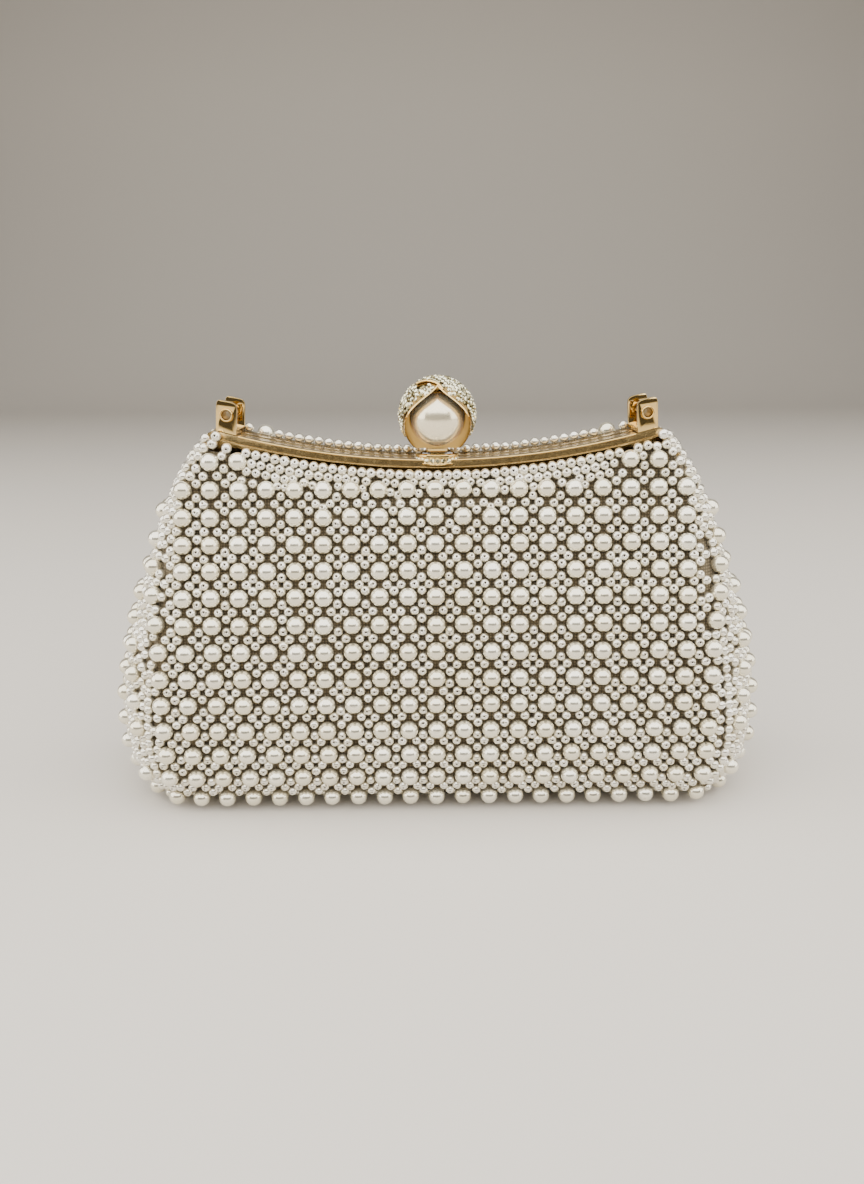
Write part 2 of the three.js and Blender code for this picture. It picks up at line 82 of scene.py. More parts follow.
# Height, half width, half depth and length of the rounded side, through the pearls' centres.
PROFILE = np.array([
    [4.8, 98.4, 23.0, 20], [8.5, 101.0, 25.0, 21], [14.3, 103.8, 26.7, 22], [22.8, 105.0, 27.7, 22],
    [31.2, 104.7, 28.0, 22], [39.7, 103.8, 27.5, 22], [48.1, 102.0, 26.7, 21], [56.3, 100.0, 25.9, 20],
    [64.6, 97.5, 24.6, 19], [73.0, 94.6, 22.7, 17], [80.5, 91.8, 20.4, 14], [88.0, 89.2, 17.7, 12],
    [95.8, 86.3, 15.0, 9], [105.0, 82.2, 11.6, 6], [112.3, 77.6, 10.0, 5], [121.0, 70.6, 9.8, 4],
])
# Heights of the pearl rows, from the row that shows only at the corners down to the base.
ROWS = [112.2, 103.8, 95.9, 88.1, 80.5, 72.8, 64.6, 56.3, 47.9, 39.5, 31.0, 22.6, 14.0, 4.8]
BOTTOM_Z = PEARL_RADIUS
BOTTOM_ROWS = [-14.0, -4.7, 4.7, 14.0]
BACK_EDGE_RADIUS = 1.66
LIP_END = 66.0  # half width of the mouth between the two lugs' outer sides
EDGE_STEP = 2.9  # small beads in an edging row
SCATTER_TRIES = 9000  # tries at placing a small bead in each area that is filled at random

FOOT_Z = 4.8  # the profile's lowest and highest points
TOP_Z = 121.0


# ---- The pouch's surface ----------------------------------------------------------------------------

FLAT_SAMPLES = 60


@lru_cache(maxsize=None)
def plan_line(z):
    """A quarter of the outline at a height, from the middle of the front to the side, and its arc lengths."""
    width, depth, corner = (np.interp(z, PROFILE[:, 0], PROFILE[:, k]) for k in (1, 2, 3))
    flat = np.linspace(0, width - corner, FLAT_SAMPLES, endpoint=False)
    turn = np.linspace(0, math.pi / 2, 90)
    x = np.concatenate([flat, width - corner + corner * np.sin(turn)])
    y = np.concatenate([np.full(FLAT_SAMPLES, -depth), -depth * np.cos(turn)])
    steps = np.hypot(np.diff(x), np.diff(y))
    return x, y, np.concatenate([[0], np.cumsum(steps)])


def girth(z):
    """Arc length from the middle of the front to the middle of the side."""
    return plan_line(round(z, 2))[2][-1]


def on_pouch(u, z):
    """The point at arc length u from the middle of the front, past the side's middle if u is long enough."""
    x, y, s = plan_line(round(z, 2))
    reach = abs(u)
    back = reach > s[-1]
    reach = 2 * s[-1] - reach if back else reach
    px, py = np.interp(reach, s, x), np.interp(reach, s, y)
    return np.array([math.copysign(px, u), -py if back else py, z])


def normal_at(u, z):
    step = 0.6
    across = on_pouch(u + step, z) - on_pouch(u - step, z)
    up = on_pouch(u, min(z + step, TOP_Z - 0.1)) - on_pouch(u, max(z - step, FOOT_Z + 0.01))
    n = np.cross(across, up)
    return n / np.linalg.norm(n)


def point_at(u, z, inset=0.0):
    return on_pouch(u, z) - inset * normal_at(u, z)


def lip_height(x):
    return LIP_CENTRE - math.sqrt(LIP_RADIUS ** 2 - min(abs(x), 80.0) ** 2)


def frame_top(x):
    return LIP_CENTRE - math.sqrt((LIP_RADIUS - 2.5) ** 2 - x ** 2)


def u_at_depth(z, depth):
    """Arc length at which the outline has come in to a depth from the mid-plane."""
    x, y, s = plan_line(round(z, 2))
    return float(np.interp(-depth, y[FLAT_SAMPLES - 1:], s[FLAT_SAMPLES - 1:]))


def seam_depth(z):
    """How far from the mid-plane the seam between panel and gusset lies."""
    deep = np.interp(z, PROFILE[:, 0], PROFILE[:, 2])
    return min(MEETING_DEPTH + max(0.0, HINGE_Z + 3 - z), 0.88 * deep)


@lru_cache(maxsize=None)
def seam_u(z):
    return u_at_depth(z, seam_depth(z))


# ---- Bead meshes ----------------------------------------------------------------------------------

def turned_template(profile, segments):
    """A unit bead turned about Z: vertices and faces, with a pole at each end of the profile."""
    verts = [(0.0, 0.0, profile[0][1])]
    for radius, height in profile[1:-1]:
        for k in range(segments):
            a = 2 * math.pi * k / segments
            verts.append((radius * math.cos(a), radius * math.sin(a), height))
    verts.append((0.0, 0.0, profile[-1][1]))
    faces = []
    rings = len(profile) - 2
    last = len(verts) - 1
    for k in range(segments):
        n = (k + 1) % segments
        faces.append((0, 1 + k, 1 + n))
        for r in range(rings - 1):
            a, b = 1 + r * segments, 1 + (r + 1) * segments
            faces.append((a + k, b + k, b + n, a + n))
        tail = 1 + (rings - 1) * segments
        faces.append((last, tail + n, tail + k))
    return np.array(verts), faces


def ball_template(segments, rings):
    angles = [math.pi * i / rings for i in range(rings + 1)]
    return turned_template([(math.sin(a), math.cos(a)) for a in angles], segments)


PEARL_TEMPLATE = ball_template(24, 14)
SEED_PROFILE = [
    (0, 0.40), (0.19, 0.45), (0.24, 0.90), (0.48, 0.88), (0.82, 0.57), (1.0, 0.0), (0.82, -0.57), (0, -1),
]
SEED_TEMPLATE = turned_template(SEED_PROFILE, 10)
# these hole vertices are painted near black in the material: painted shade in the threading hole
SEED_HOLE_VERTICES = 11  # the pole and the first ring lie in the threading hole


def bead_piece(name, template, beads, radius):
    """One mesh of many beads. beads holds (centre, outward axis, size factor), in millimetres."""
    base, faces = template
    count, size = len(beads), len(base)
    verts = np.empty((count * size, 3))
    tone = np.empty(count * size, np.float32)
    for i, (centre, axis, scale) in enumerate(beads):
        spin = Matrix.Rotation(rng.uniform(0, 2 * math.pi), 3, "Z")
        turn = np.array(Vector(axis).to_track_quat("Z", "Y").to_matrix() @ spin)
        verts[i * size:(i + 1) * size] = (base @ turn.T) * radius * scale + centre
        tone[i * size:(i + 1) * size] = rng.random()
    # painted shade: the seed beads' hole vertices are marked here to be painted near black
    hole = np.zeros((count, size), np.float32)
    if template is SEED_TEMPLATE:
        hole[:, :SEED_HOLE_VERTICES] = 1
    flat = np.array([v for f in faces for v in f])
    totals = np.array([len(f) for f in faces])
    loops = (flat[None] + (np.arange(count) * size)[:, None]).ravel()
    lengths = np.tile(totals, count)
    mesh = bpy.data.meshes.new(name)
    mesh.vertices.add(len(verts))
    mesh.vertices.foreach_set("co", (verts * MM).ravel())
    mesh.loops.add(len(loops))
    mesh.loops.foreach_set("vertex_index", loops)
    mesh.polygons.add(len(lengths))
    mesh.polygons.foreach_set("loop_start", np.concatenate([[0], np.cumsum(lengths)[:-1]]))
    mesh.polygons.foreach_set("loop_total", lengths)
    mesh.polygons.foreach_set("use_smooth", np.ones(len(lengths), bool))
    mesh.update(calc_edges=True)
    mesh.validate()
    mesh.attributes.new("tone", "FLOAT", "POINT").data.foreach_set("value", tone)
    mesh.attributes.new("hole", "FLOAT", "POINT").data.foreach_set("value", hole.ravel())
    obj = bpy.data.objects.new(name, mesh)
    bpy.context.scene.collection.objects.link(obj)
    obj["bead_size"] = size
    obj["bead_heights"] = [float(b[0][2]) for b in beads]
    return obj


def follow(obj):
    """The piece's transform is baked into its mesh; each bead keeps its round shape."""
    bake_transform(obj)


class BeadField:
    """Beads placed so far on one panel; a bead that would run into another is left out."""

    def __init__(self):
        self.centres = np.empty((0, 3))
        self.radii = np.empty(0)
        self.pearls = []
        self.seeds = []

    def place(self, u, z, small, tightness=0.93, jitter=0.0, deeper=0.0):
        u, z = u + rng.uniform(-jitter, jitter), z + rng.uniform(-jitter, jitter)
        axis = normal_at(u, z)
        radius = SEED_RADIUS if small else PEARL_RADIUS
        centre = point_at(u, z, SEED_INSET + deeper if small else 0.0)
        return self.put(centre, axis, radius, tightness)

    def put(self, centre, axis, radius, tightness=0.93):
        if len(self.centres):
            room = np.linalg.norm(self.centres - centre, axis=1) - tightness * (self.radii + radius)
            if room.min() < 0:
                return False
        self.centres = np.vstack([self.centres, centre])
        self.radii = np.append(self.radii, radius)
        small = radius < PEARL_RADIUS
        tilt = np.array([rng.gauss(0, 0.16) for _ in range(3)]) if small else np.zeros(3)
        bead = (centre, axis + tilt, 1 + rng.uniform(-0.05, 0.05) * (1 if small else 0.3))
        (self.seeds if small else self.pearls).append(bead)
        return True


def cell_places(columns, rows):
    """Four small beads in a diamond in every cell between the pearls, as (column, height) pairs."""
    for top, foot in zip(rows, rows[1:]):
        for j in columns:
            for du, share in ((0.5, 0.24), (0.5, 0.76), (0.25, 0.5), (0.75, 0.5)):
                yield j + du, top + share * (foot - top)


def column_u(j, z):
    """Arc length of a column of pearls; the outermost one leans out to the seam at the top."""
    lean = np.interp(z, [60, 95], [0, 7.5]) if abs(j) == LAST_COLUMN else 0.0
    return j * PITCH + COLUMN_SHIFT + math.copysign(lean, j)


def panel_beads():
    """Beads of one panel: columns of pearls with a diamond of small beads in every cell."""
    field = BeadField()
    for row, z in enumerate(ROWS):
        for j in range(-LAST_COLUMN, LAST_COLUMN + 1):
            if row == 0 and abs(j) not in (7, 8):
                continue
            if row == 1 and abs(j) == LAST_COLUMN:
                continue
            u = column_u(j, z)
            inside = lip_height(on_pouch(u, z)[0]) - z > (2.9 if row == 0 else 3.6)
            if inside and abs(u) < seam_u(z) - 1.5:
                field.place(u, z, small=False, jitter=0.12)
    edging_rows(field)
    spacing = [ROWS[0] + PITCH, *ROWS]
    for column, z in cell_places(range(-LAST_COLUMN - 2, LAST_COLUMN + 2), spacing):
        u, z = column * PITCH + COLUMN_SHIFT, min(z, 120.0)
        if lip_height(on_pouch(u, z)[0]) - z > 2.4 and abs(u) < seam_u(z) - 1.5:
            field.place(u, z, small=True, tightness=0.78, jitter=0.16)
    filler(field)
    return field


def edging_rows(field):
    """Close rows of small beads under the lip, and one down each side of the panel."""
    for row, drop in enumerate((1.4, 4.0, 6.6)):
        u = 0.0 if row % 2 == 0 else EDGE_STEP / 2
        while u < LIP_END:
            for side in ((1, -1) if u else (1,)):
                x = side * u
                field.place(x, lip_height(x) - drop, small=True, tightness=0.82, jitter=0.08)
            u += EDGE_STEP
    z = 118.6
    while z > 6:
        for side in (1, -1):
            field.place(side * (seam_u(z) - 1.5), z, small=True, tightness=0.82, jitter=0.1)
        z -= EDGE_STEP


def filler(field):
    """Small beads scattered into the wider gaps beside the seams and under the lip."""
    for _ in range(SCATTER_TRIES):
        side = rng.choice((-1, 1))
        z = rng.uniform(5.5, 120)
        u = side * (seam_u(z) - rng.uniform(1.4, 16))
        x = on_pouch(u, z)[0]
        if abs(x) > LIP_END or lip_height(x) - z > 2.2:
            field.place(u, z, small=True, tightness=0.8)
    for _ in range(SCATTER_TRIES):
        x = rng.uniform(-72, 72)
        z = lip_height(min(abs(x), LIP_END)) - rng.uniform(1.6, 16)
        field.place(x, z, small=True, tightness=0.76, deeper=0.5)


def back_edging():
    """The back panel's edging stands up behind the frame, with a large pearl near each end."""
    field = BeadField()
    for side in (-1, 1):
        x = side * 55.0
        field.put(np.array([x, 10.2, frame_top(x) + 0.2]), np.array([0, 0.4, 0.9]), PEARL_RADIUS)
    x = 0.0
    while x < 64:
        for side in (-1, 1) if x else (1,):
            depth = 8.3 + rng.uniform(-0.1, 0.1)
            place = np.array([side * x, depth, frame_top(x) + 1.0 + rng.uniform(-0.15, 0.15)])
            field.put(place, np.array([0, 0.8, 0.6]), BACK_EDGE_RADIUS, 0.8)
            low = place - np.array([1.5 * side, -0.6, 2.7])
            field.put(low, np.array([0, 1.0, 0.1]), BACK_EDGE_RADIUS, 0.8)
        x += 3.15
    return field


def gusset_beads(side):
    """Beads round one side, below the hinge, in columns either side of its middle."""
    field = BeadField()
    for row in range(4, len(ROWS)):
        z = ROWS[row]
        g = girth(z)
        outer = np.interp(z, [45, 80], [109.5, 99.5])
        inner = np.interp(z, [30, 62], [96.5, 101.5])
        for u, drop in ((g, 2.4), (outer, 1.9), (inner, 0.9)):
            for way in (1, -1):
                place_z = max(z - drop, FOOT_Z + 0.01)
                column = u if way > 0 else 2 * g - u
                if abs(on_pouch(column, place_z)[1]) < seam_depth(place_z) - 1.6:
                    field.place(side * column, place_z, small=False, tightness=0.98, jitter=0.15)
    for column, z in cell_places(range(-4, 4), [z - 1.9 for z in ROWS[4:-1]] + [FOOT_Z + 0.02]):
        u = girth(z) + column * PITCH
        if z < HINGE_Z - 1 and abs(on_pouch(u, z)[1]) < seam_depth(z) - 1.4:
            field.place(side * u, z, small=True, tightness=0.78, jitter=0.2)
    for _ in range(SCATTER_TRIES):
        z = rng.uniform(5.5, HINGE_Z)
        u = girth(z) + rng.uniform(-1, 1) * (girth(z) - seam_u(z) - 1.0)
        field.place(side * u, z, small=True, tightness=0.77, deeper=0.4)
    return field


def base_beads():
    field = BeadField()
    down = np.array([0.0, 0.0, -1.0])
    for y in BOTTOM_ROWS:
        for j in range(-LAST_COLUMN, LAST_COLUMN + 1):
            field.put(np.array([j * PITCH, y, BOTTOM_Z]), down, PEARL_RADIUS)
    lines = [-18.6, *BOTTOM_ROWS, 18.6]
    for y0, y1 in zip(lines, lines[1:]):
        for j in range(-LAST_COLUMN - 1, LAST_COLUMN + 1):
            for du, share in ((0.5, 0.25), (0.5, 0.75), (0.25, 0.5), (0.75, 0.5)):
                centre = np.array([(j + du) * PITCH, y0 + share * (y1 - y0), BOTTOM_Z + SEED_INSET])
                field.put(centre, down, SEED_RADIUS)
    return field


def mirrored(beads):
    """The same beads on the back."""
    flip = np.array([1.0, -1.0, 1.0])
    return [(centre * flip, axis * flip, scale) for centre, axis, scale in beads]


def drape(name, rows, thickness):
    """A cloth sheet stretched through a grid of points in millimetres."""
    grid = np.array(rows)
    m, n = grid.shape[:2]
    faces = [(i * n + k, i * n + k + 1, (i + 1) * n + k + 1, (i + 1) * n + k)
             for i in range(m - 1) for k in range(n - 1)]
    mesh = bpy.data.meshes.new(name)
    mesh.from_pydata([tuple(p) for p in grid.reshape(-1, 3) * MM], [], faces)
    mesh.polygons.foreach_set("use_smooth", np.ones(len(faces), bool))
    obj = bpy.data.objects.new(name, mesh)
    bpy.context.scene.collection.objects.link(obj)
    solid = obj.modifiers.new("cloth", "SOLIDIFY")
    solid.thickness = thickness * MM
    solid.offset = 0
    return obj


def panel_grid(inset, foot, top_gap, columns=97, levels=54, margin=0.0):
    """Points of a cloth that lies under one panel, from the lip down to a height."""
    rows = []
    for i in range(levels):
        share = i / (levels - 1)
        row = []
        for k in range(columns):
            a = 2 * k / (columns - 1) - 1
            top = lip_height(a * (LIP_END + 1)) - top_gap
            z = top + share * (foot - top)
            row.append(point_at(a * (seam_u(round(z, 2)) - margin), z, inset))
        rows.append(row)
    return rows


# ---- Materials --------------------------------------------------------------------------------------

def material(name, colour, roughness, metallic=0.0, **sockets):
    mat = bpy.data.materials.new(name)
    mat.use_nodes = True
    shader = mat.node_tree.nodes["Principled BSDF"]
    shader.inputs["Base Color"].default_value = (*colour, 1)
    shader.inputs["Roughness"].default_value = roughness
    shader.inputs["Metallic"].default_value = metallic
    for socket, value in sockets.items():
        shader.inputs[socket.replace("_", " ")].default_value = value
    return mat, mat.node_tree, shader


def node(tree, kind, **inputs):
    made = tree.nodes.new(kind)
    for key, value in inputs.items():
        made.inputs[key.replace("_", " ")].default_value = value
    return made


def colour_mix(tree, factor, low, high):
    mix = tree.nodes.new("ShaderNodeMix")
    mix.data_type = "RGBA"
    mix.inputs[6].default_value = (*low, 1)
    mix.inputs[7].default_value = (*high, 1)
    tree.links.new(factor, mix.inputs[0])
    return mix.outputs[2]


def bump(tree, shader, height, distance, strength=1.0):
    made = node(tree, "ShaderNodeBump", Strength=strength, Distance=distance)
    tree.links.new(height, made.inputs["Height"])
    tree.links.new(made.outputs["Normal"], shader.inputs["Normal"])


def noise(tree, scale, detail=4.0, roughness=0.5):
    texture = node(tree, "ShaderNodeTexNoise", Scale=scale, Detail=detail, Roughness=roughness)
    coords = tree.nodes.new("ShaderNodeTexCoord")
    tree.links.new(coords.outputs["Object"], texture.inputs["Vector"])
    return texture.outputs["Fac"]


def pearl_material(name, pale, deep, roughness, nacre):
    """Nacre: a partly metallic body under a clear coat; the bottoms of threading holes are painted near black,
    as painted shade in the hole.
    """
    mat, tree, shader = material(name, pale, roughness, nacre, Coat_Weight=0.7, Coat_Roughness=0.04,
                                 Coat_IOR=1.6, Specular_IOR_Level=0.7)
    tone = tree.nodes.new("ShaderNodeAttribute")
    tone.attribute_name = "tone"
    mottled = tree.nodes.new("ShaderNodeMath")
    mottled.operation = "MULTIPLY_ADD"
    tree.links.new(noise(tree, 420), mottled.inputs[0])
    mottled.inputs[1].default_value = 0.4
    tree.links.new(tone.outputs["Fac"], mottled.inputs[2])
    body = colour_mix(tree, mottled.outputs[0], pale, deep)
    hole = tree.nodes.new("ShaderNodeAttribute")
    hole.attribute_name = "hole"
    mix = tree.nodes.new("ShaderNodeMix")
    mix.data_type = "RGBA"
    tree.links.new(hole.outputs["Fac"], mix.inputs[0])
    tree.links.new(body, mix.inputs[6])
    # painted shade in the threading hole: near black
    mix.inputs[7].default_value = (0.07, 0.04, 0.02, 1)
    tree.links.new(mix.outputs[2], shader.inputs["Base Color"])
    bump(tree, shader, noise(tree, 900, 3), 0.00003, 0.2)
    return mat


def cloth_material(name, pale, deep, pitch, sheen=0.3, roughness=0.85):
    """A plain weave: two sets of threads at a pitch in metres, with slubs."""
    mat, tree, shader = material(name, pale, roughness, Sheen_Weight=sheen, Sheen_Roughness=0.4)
    coords = tree.nodes.new("ShaderNodeTexCoord")
    heights = []
    for direction in ("X", "Z"):
        wave = node(tree, "ShaderNodeTexWave", Scale=0.314 / pitch, Distortion=0.6, Detail=1.0)
        wave.bands_direction = direction
        tree.links.new(coords.outputs["Object"], wave.inputs["Vector"])
        heights.append(wave.outputs["Fac"])
    weave = tree.nodes.new("ShaderNodeMath")
    weave.operation = "MULTIPLY"
    tree.links.new(heights[0], weave.inputs[0])
    tree.links.new(heights[1], weave.inputs[1])
    slub = tree.nodes.new("ShaderNodeMath")
    slub.operation = "MULTIPLY_ADD"
    tree.links.new(noise(tree, 160), slub.inputs[0])
    slub.inputs[1].default_value = 0.6
    tree.links.new(weave.outputs[0], slub.inputs[2])
    tree.links.new(colour_mix(tree, slub.outputs[0], deep, pale), shader.inputs["Base Color"])
    bump(tree, shader, weave.outputs[0], 0.00012, 0.7)
    return mat


def gold_material(name, colour, deep, roughness, brushed):
    mat, tree, shader = material(name, colour, roughness, 1.0)
    worn = noise(tree, 90, 6)
    tree.links.new(colour_mix(tree, worn, deep, colour), shader.inputs["Base Color"])
    rough = tree.nodes.new("ShaderNodeMapRange")
    rough.inputs["To Min"].default_value = roughness * 0.7
    rough.inputs["To Max"].default_value = roughness * 1.35
    tree.links.new(noise(tree, 700, 3), rough.inputs["Value"])
    tree.links.new(rough.outputs["Result"], shader.inputs["Roughness"])
    bump(tree, shader, noise(tree, 1500, 2), 0.00001 if not brushed else 0.00003, 0.3)
    return mat


def setting_material():
    """The stones' setting: painted dark brown above the plain foot, as painted shade in the gaps between the
    stones; the plain foot keeps the polished gold.
    """
    mat = gold_material("stone_setting", (0.78, 0.57, 0.24), (0.66, 0.45, 0.17), 0.14, False)
    tree = mat.node_tree
    shader = tree.nodes["Principled BSDF"]
    bright = shader.inputs["Base Color"].links[0].from_socket
    coords = tree.nodes.new("ShaderNodeTexCoord")
    split = tree.nodes.new("ShaderNodeSeparateXYZ")
    tree.links.new(coords.outputs["Object"], split.inputs[0])
    rise = tree.nodes.new("ShaderNodeMapRange")
    rise.inputs["From Min"].default_value = 0.1195
    rise.inputs["From Max"].default_value = 0.1215
    tree.links.new(split.outputs["Z"], rise.inputs["Value"])
    mix = tree.nodes.new("ShaderNodeMix")
    mix.data_type = "RGBA"
    tree.links.new(rise.outputs["Result"], mix.inputs[0])
    tree.links.new(bright, mix.inputs[6])
    # painted shade between the stones: dark brown from just under the lowest stones upward
    mix.inputs[7].default_value = (0.20, 0.13, 0.045, 1)
    tree.links.new(mix.outputs[2], shader.inputs["Base Color"])
    return mat


def stone_material():
    """Foil-backed glass: mirror facets, each stone a little lighter or darker than the next."""
    mat, tree, shader = material("rhinestone", (0.9, 0.88, 0.76), 0.04, 0.85, Coat_Weight=1.0,
                                 Coat_Roughness=0.02)
    tone = tree.nodes.new("ShaderNodeAttribute")
    tone.attribute_name = "tone"
    spread = tree.nodes.new("ShaderNodeMapRange")
    spread.inputs["From Min"].default_value = 0.05
    spread.inputs["From Max"].default_value = 0.6
    tree.links.new(tone.outputs["Fac"], spread.inputs["Value"])
    cloudy = tree.nodes.new("ShaderNodeMath")
    cloudy.operation = "MULTIPLY"
    tree.links.new(spread.outputs["Result"], cloudy.inputs[0])
    tree.links.new(noise(tree, 1200, 2), cloudy.inputs[1])
    cloudy_boost = tree.nodes.new("ShaderNodeMath")
    cloudy_boost.operation = "MULTIPLY"
    cloudy_boost.use_clamp = True
    tree.links.new(cloudy.outputs[0], cloudy_boost.inputs[0])
    cloudy_boost.inputs[1].default_value = 1.9
    colour = colour_mix(tree, cloudy_boost.outputs[0], (0.20, 0.16, 0.05), (0.90, 0.87, 0.62))
    tree.links.new(colour, shader.inputs["Base Color"])
    return mat


PEARL = pearl_material("ivory_pearl", (0.90, 0.86, 0.73), (0.80, 0.74, 0.57), 0.15, 0.72)
SEED = pearl_material("silvery_seed_bead", (0.94, 0.91, 0.82), (0.76, 0.71, 0.58), 0.12, 0.75)
CLOTH = cloth_material("backing_cloth", (0.22, 0.17, 0.095), (0.025, 0.018, 0.010), 0.0009)
LINING = cloth_material("satin_lining", (0.58, 0.43, 0.26), (0.46, 0.33, 0.19), 0.00025, 0.2, 0.4)
FELT = cloth_material("felt", (0.62, 0.58, 0.50), (0.46, 0.42, 0.35), 0.0012, 0.2, 0.95)
SATIN_GOLD = gold_material("satin_gold", (0.60, 0.44, 0.20), (0.43, 0.29, 0.115), 0.24, True)
BRIGHT_GOLD = gold_material("bright_gold", (0.78, 0.57, 0.24), (0.66, 0.45, 0.17), 0.1, False)
SETTING_GOLD = setting_material()
BED_GOLD = gold_material("warm_satin_gold", (0.74, 0.50, 0.17), (0.58, 0.36, 0.10), 0.4, True)
# the heart pearl's cream is tinted golden: partly its own tone, partly a painted reflection of the gold cup and
# bed round it
HEART_PEARL = pearl_material("heart_pearl", (0.90, 0.81, 0.60), (0.82, 0.70, 0.46), 0.22, 0.72)
STONE = stone_material()
STEEL = gold_material("steel", (0.55, 0.55, 0.54), (0.42, 0.42, 0.41), 0.25, False)


def dress(obj, mat):
    obj.data.materials.clear()
    obj.data.materials.append(mat)
    return obj


# ---- Pouch pieces -----------------------------------------------------------------------------------

def pearl_piece(name, beads):
    return dress(bead_piece(name, PEARL_TEMPLATE, beads, PEARL_RADIUS), PEARL)


def seed_piece(name, beads, radius=SEED_RADIUS):
    return dress(bead_piece(name, SEED_TEMPLATE, beads, radius), SEED)


def cloth_piece(name, rows, thickness=CLOTH_THICKNESS):
    return dress(drape(name, rows, thickness), CLOTH)


panel = panel_beads()
back_panel = (mirrored(panel.pearls), mirrored(panel.seeds))
for half, way, (pearls, seeds) in (("front", 1, (panel.pearls, panel.seeds)), ("back", -1, back_panel)):
    pearls = pearl_piece(f"{half}_panel_pearls", pearls)
    seeds = seed_piece(f"{half}_panel_seed_beads", seeds)
    facing = np.array([1, way, 1])
    grid = np.array(panel_grid(CLOTH_INSET, FOOT_Z + 0.1, 0.4)) * facing
    cloth = cloth_piece(f"{half}_panel_cloth", grid)
    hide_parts(f"{half}_cover_upper", f"{half}_cover_lower")
    lining_grid = np.array(panel_grid(CLOTH_INSET + 4.3, 40, 2.5, 65, 30, 4.0)) * facing
    lining = drape(f"{half}_lining_cloth", lining_grid, LINING_THICKNESS)
    dress(lining, LINING)
    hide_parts(f"{half}_lining", f"{half}_interlining")
    for piece in (pearls, seeds, cloth, lining):
        follow(piece)

field = back_edging()
edging_pearls = pearl_piece("back_edging_pearls", field.pearls)
edging_seeds = seed_piece("back_edging_seed_beads", field.seeds, BACK_EDGE_RADIUS)
rows = []
for drop in np.linspace(-0.2, 4.5, 5):
    rows.append([(x, 7.35 + 0.12 * max(drop, 0), frame_top(x) - drop) for x in np.linspace(-65, 65, 65)])
edging_cloth = cloth_piece("back_edging_cloth", rows, LINING_THICKNESS)
for piece in (edging_pearls, edging_seeds, edging_cloth):
    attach(piece, "back_half")

for hand, side in (("left", -1), ("right", 1)):
    field = gusset_beads(side)
    pearls = pearl_piece(f"{hand}_gusset_pearls", field.pearls)
    seeds = seed_piece(f"{hand}_gusset_seed_beads", field.seeds)
    rows = []
    for z in np.linspace(HINGE_Z - 1, FOOT_Z + 0.1, 36):
        z = round(float(z), 2)
        span = girth(z) - seam_u(z)
        rows.append([point_at(side * (girth(z) + t * span), z, CLOTH_INSET) for t in np.linspace(-1, 1, 33)])
    cloth = cloth_piece(f"{hand}_gusset_cloth", rows)
    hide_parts(f"{hand}_gusset")
    for piece in (pearls, seeds, cloth):
        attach(piece, "pouch")

field = base_beads()
base_pearls = pearl_piece("base_pearls", field.pearls)
base_seeds = seed_piece("base_seed_beads", field.seeds)
base_edge_z = FOOT_Z + 0.1
quarter = girth(base_edge_z)
rows = []
for t in np.linspace(1, 0.02, 12):
    ring = []
    for k in range(97):
        u = 4 * quarter * k / 96
        wrap = u if u <= 2 * quarter else u - 4 * quarter
        x, y, z = point_at(wrap, base_edge_z, CLOTH_INSET)
        ring.append((x * t, y * t, z + (5.8 - z) * min(1, 6 * (1 - t))))
    rows.append(ring)
base_cloth = cloth_piece("base_cloth", rows)
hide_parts("base_cover")
for piece in (base_pearls, base_seeds, base_cloth):
    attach(piece, "pouch")

# ---- Clasp ------------------------------------------------------------------------------------------

BALL = Vector((0, -2.5, 124.8))
BALL_RADIUS = 12.05
BALL_FOOT = 115.2
BALL_OUTER = 11.6  # under the stones
BALL_BORE = 11.0
RIM_BORE = 10.9
STONE_RADIUS = 0.8
HEART = BALL + Vector((0, -1.0, -0.6))
HEART_RADIUS = 8.8
# Two curves from the window's tip down to the ball's foot, about the ball's centre.
WINDOW = [
    ((0, 9.3), (2.0, 6.6), (9.6, 3.6), (9.7, -2.2)),
    ((9.7, -2.2), (9.75, -4.6), (8.9, -7.4), (5.5, -10.6)),
]


def window_half(samples=14):
    """Right half of the pointed arch, from its tip to the foot, about the ball's centre."""
    points = []
    for a, b, c, d in WINDOW:
        for i in range(samples):
            t = i / samples
            k = ((1 - t) ** 3, 3 * t * (1 - t) ** 2, 3 * t * t * (1 - t), t ** 3)
            points.append(tuple(sum(w * p[n] for w, p in zip(k, (a, b, c, d))) for n in (0, 1)))
    return points + [WINDOW[-1][3]]


WINDOW_HALF = window_half()
WINDOW_HEIGHTS = [p[1] for p in reversed(WINDOW_HALF)]
WINDOW_WIDTHS = [p[0] for p in reversed(WINDOW_HALF)]


def outside_window(x, z, margin):
    """Whether a point seen from the front, about the ball's centre, is clear of the window."""
    if z > WINDOW_HEIGHTS[-1] + margin:
        return True
    return abs(x) > np.interp(z, WINDOW_HEIGHTS, WINDOW_WIDTHS) + margin


def link_mesh(name, bm):
    mesh = bpy.data.meshes.new(name)
    bm.to_mesh(mesh)
    bm.free()
    obj = bpy.data.objects.new(name, mesh)
    bpy.context.scene.collection.objects.link(obj)
    return obj


def ball(name, radius, centre=BALL, segments=72, rings=48):
    bm = bmesh.new()
    bmesh.ops.create_uvsphere(bm, u_segments=segments, v_segments=rings, radius=radius * MM)
    bmesh.ops.rotate(bm, verts=bm.verts, cent=(0, 0, 0), matrix=Matrix.Rotation(math.pi / 2, 3, "X"))
    bmesh.ops.translate(bm, verts=bm.verts, vec=centre * MM)
    return link_mesh(name, bm)


def block(name, low, high, turn=None):
    bm = bmesh.new()
    bmesh.ops.create_cube(bm, size=1)
    for v in bm.verts:
        v.co = Vector([low[i] + (v.co[i] + 0.5) * (high[i] - low[i]) for i in range(3)])
        v.co = ((turn @ v.co if turn else v.co) + BALL) * MM
    return link_mesh(name, bm)


